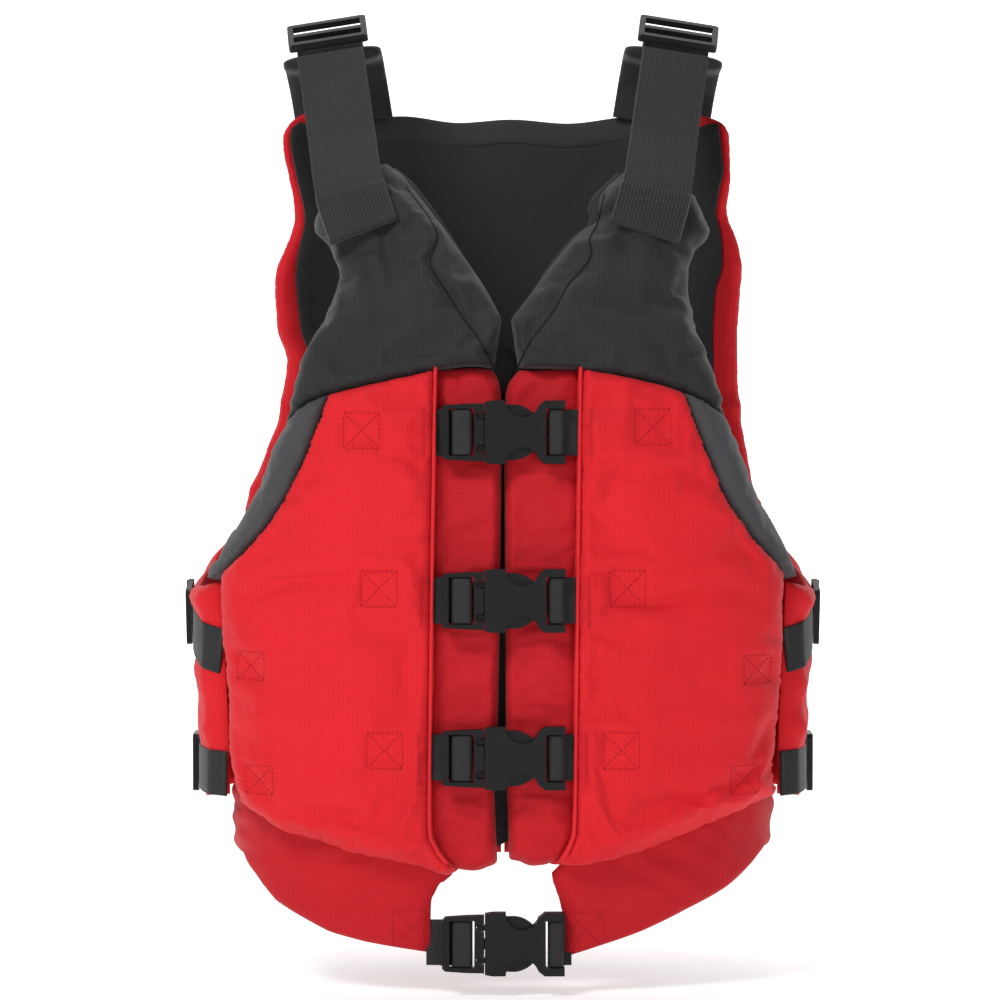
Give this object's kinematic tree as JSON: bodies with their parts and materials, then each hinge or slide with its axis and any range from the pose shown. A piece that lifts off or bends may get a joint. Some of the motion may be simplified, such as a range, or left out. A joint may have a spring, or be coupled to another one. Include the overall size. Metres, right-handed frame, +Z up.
{
  "type": "paddling life jacket",
  "caption": "Foam-filled paddling life jacket in its worn shape, front-opening, with side-release buckles, padded shoulder straps, side adjusting straps and a waist belt.",
  "frame": {"origin": "on the wearer's upright torso axis, level with the lower hem of the front panels", "axes": "+Z up, the front faces -Y, +X is the wearer's left"},
  "size_m": [0.3696, 0.2595, 0.5444],
  "materials": {
    "red_ripstop": "matte woven ripstop",
    "charcoal_ripstop": "matte woven ripstop",
    "grey_fabric": "matte plain weave",
    "lining_fabric": "matte",
    "buoyant_foam": "closed-cell foam",
    "webbing": "ribbed webbing",
    "buckle_plastic": "satin moulded"
  },
  "bodies": {
    "left_half": {"front_cover_left": "red_ripstop", "front_yoke_left": "charcoal_ripstop", "armhole_band_left": "grey_fabric", "front_placket_left": "red_ripstop", "front_lining_left": "lining_fabric", "front_foam_left": "buoyant_foam", "back_cover_left": "red_ripstop", "back_lining_left": "lining_fabric", "back_foam_left": "buoyant_foam", "side_panel_left": "red_ripstop", "side_strap_upper_left": "webbing", "side_strap_lower_left": "webbing", "belt_wing_left": "red_ripstop", "shoulder_pad_left": "charcoal_ripstop", "shoulder_pad_webbing_left": "webbing", "shoulder_webbing_left": "webbing", "buckle_webbing_left": "webbing", "buckle_chest_socket": "buckle_plastic", "buckle_middle_socket": "buckle_plastic", "buckle_lower_socket": "buckle_plastic", "buckle_waist_socket": "buckle_plastic"},
    "shoulder_lock_left": {"shoulder_lock_left": "buckle_plastic"},
    "shoulder_tail_left": {"shoulder_tail_left": "webbing"},
    "side_lock_upper_left": {"side_lock_upper_left": "buckle_plastic"},
    "side_lock_lower_left": {"side_lock_lower_left": "buckle_plastic"},
    "right_half": {"front_cover_right": "red_ripstop", "front_yoke_right": "charcoal_ripstop", "armhole_band_right": "grey_fabric", "front_placket_right": "red_ripstop", "front_lining_right": "lining_fabric", "front_foam_right": "buoyant_foam", "back_cover_right": "red_ripstop", "back_lining_right": "lining_fabric", "back_foam_right": "buoyant_foam", "side_panel_right": "red_ripstop", "side_strap_upper_right": "webbing", "side_strap_lower_right": "webbing", "belt_wing_right": "red_ripstop", "shoulder_pad_right": "charcoal_ripstop", "shoulder_pad_webbing_right": "webbing", "shoulder_webbing_right": "webbing", "buckle_webbing_right": "webbing", "buckle_chest_plug": "buckle_plastic", "buckle_middle_plug": "buckle_plastic", "buckle_lower_plug": "buckle_plastic", "buckle_waist_plug": "buckle_plastic"},
    "shoulder_lock_right": {"shoulder_lock_right": "buckle_plastic"},
    "shoulder_tail_right": {"shoulder_tail_right": "webbing"},
    "side_lock_upper_right": {"side_lock_upper_right": "buckle_plastic"},
    "side_lock_lower_right": {"side_lock_lower_right": "buckle_plastic"},
    "prong_chest_upper": {"buckle_chest_prong_upper": "buckle_plastic"},
    "prong_chest_lower": {"buckle_chest_prong_lower": "buckle_plastic"},
    "prong_middle_upper": {"buckle_middle_prong_upper": "buckle_plastic"},
    "prong_middle_lower": {"buckle_middle_prong_lower": "buckle_plastic"},
    "prong_lower_upper": {"buckle_lower_prong_upper": "buckle_plastic"},
    "prong_lower_lower": {"buckle_lower_prong_lower": "buckle_plastic"},
    "prong_waist_upper": {"buckle_waist_prong_upper": "buckle_plastic"},
    "prong_waist_lower": {"buckle_waist_prong_lower": "buckle_plastic"}
  },
  "joints": [
    {"name": "front_opening", "type": "hinge", "parent": "left_half", "child": "right_half", "pos_m": [0, 0.131, 0.2], "axis": [0, 0, -1], "range_deg": [0, 55], "deforming": ["buckle_chest_prong_upper", "buckle_chest_prong_lower", "buckle_middle_prong_upper", "buckle_middle_prong_lower", "buckle_lower_prong_upper", "buckle_lower_prong_lower", "buckle_waist_prong_upper", "buckle_waist_prong_lower"]},
    {"name": "chest_prong_upper", "type": "hinge", "parent": "right_half", "child": "prong_chest_upper", "pos_m": [-0.0126, -0.1203, 0.252], "axis": [0, 1, 0], "range_deg": [0, 7], "stiffness_Nm_per_rad": 0.5},
    {"name": "chest_prong_lower", "type": "hinge", "parent": "right_half", "child": "prong_chest_lower", "pos_m": [-0.0126, -0.1203, 0.234], "axis": [0, -1, 0], "range_deg": [0, 7], "stiffness_Nm_per_rad": 0.5},
    {"name": "middle_prong_upper", "type": "hinge", "parent": "right_half", "child": "prong_middle_upper", "pos_m": [-0.0126, -0.12393, 0.16], "axis": [0, 1, 0], "range_deg": [0, 7], "stiffness_Nm_per_rad": 0.5},
    {"name": "middle_prong_lower", "type": "hinge", "parent": "right_half", "child": "prong_middle_lower", "pos_m": [-0.0126, -0.12393, 0.142], "axis": [0, -1, 0], "range_deg": [0, 7], "stiffness_Nm_per_rad": 0.5},
    {"name": "lower_prong_upper", "type": "hinge", "parent": "right_half", "child": "prong_lower_upper", "pos_m": [-0.0126, -0.12248, 0.074], "axis": [0, 1, 0], "range_deg": [0, 7], "stiffness_Nm_per_rad": 0.5},
    {"name": "lower_prong_lower", "type": "hinge", "parent": "right_half", "child": "prong_lower_lower", "pos_m": [-0.0126, -0.12248, 0.056], "axis": [0, -1, 0], "range_deg": [0, 7], "stiffness_Nm_per_rad": 0.5},
    {"name": "waist_prong_upper", "type": "hinge", "parent": "right_half", "child": "prong_waist_upper", "pos_m": [-0.0126, -0.1014, -0.03], "axis": [0, 1, 0], "range_deg": [0, 7], "stiffness_Nm_per_rad": 0.5},
    {"name": "waist_prong_lower", "type": "hinge", "parent": "right_half", "child": "prong_waist_lower", "pos_m": [-0.0126, -0.1014, -0.048], "axis": [0, -1, 0], "range_deg": [0, 7], "stiffness_Nm_per_rad": 0.5},
    {"name": "shoulder_lock_tilt_left", "type": "hinge", "parent": "left_half", "child": "shoulder_lock_left", "pos_m": [0.10234, 0.00259, 0.48145], "axis": [-0.9877, 0, 0.1564], "range_deg": [0, 50]},
    {"name": "shoulder_tail_lift_left", "type": "hinge", "parent": "left_half", "child": "shoulder_tail_left", "pos_m": [0.09944, -0.0205, 0.46313], "axis": [-0.9877, 0, 0.1564], "range_deg": [0, 70]},
    {"name": "side_lock_tilt_upper_left", "type": "hinge", "parent": "left_half", "child": "side_lock_upper_left", "pos_m": [0.1812, -0.0016, 0.138], "axis": [0, 0.2827, -0.9592], "range_deg": [0, 60]},
    {"name": "side_lock_tilt_lower_left", "type": "hinge", "parent": "left_half", "child": "side_lock_lower_left", "pos_m": [0.1772, -0.0016, 0.054], "axis": [0, 0.0421, -0.9991], "range_deg": [0, 60]},
    {"name": "shoulder_lock_tilt_right", "type": "hinge", "parent": "right_half", "child": "shoulder_lock_right", "pos_m": [-0.10234, 0.00259, 0.48145], "axis": [-0.9877, 0, -0.1564], "range_deg": [0, 50]},
    {"name": "shoulder_tail_lift_right", "type": "hinge", "parent": "right_half", "child": "shoulder_tail_right", "pos_m": [-0.09944, -0.0205, 0.46313], "axis": [-0.9877, 0, -0.1564], "range_deg": [0, 70]},
    {"name": "side_lock_tilt_upper_right", "type": "hinge", "parent": "right_half", "child": "side_lock_upper_right", "pos_m": [-0.1812, -0.0016, 0.138], "axis": [0, -0.2827, 0.9592], "range_deg": [0, 60]},
    {"name": "side_lock_tilt_lower_right", "type": "hinge", "parent": "right_half", "child": "side_lock_lower_right", "pos_m": [-0.1772, -0.0016, 0.054], "axis": [0, -0.0421, 0.9991], "range_deg": [0, 60]}
  ],
  "couplings": [
    {"joint": "chest_prong_lower", "follows": "chest_prong_upper", "ratio": 1},
    {"joint": "middle_prong_lower", "follows": "middle_prong_upper", "ratio": 1},
    {"joint": "lower_prong_lower", "follows": "lower_prong_upper", "ratio": 1},
    {"joint": "waist_prong_lower", "follows": "waist_prong_upper", "ratio": 1}
  ]
}
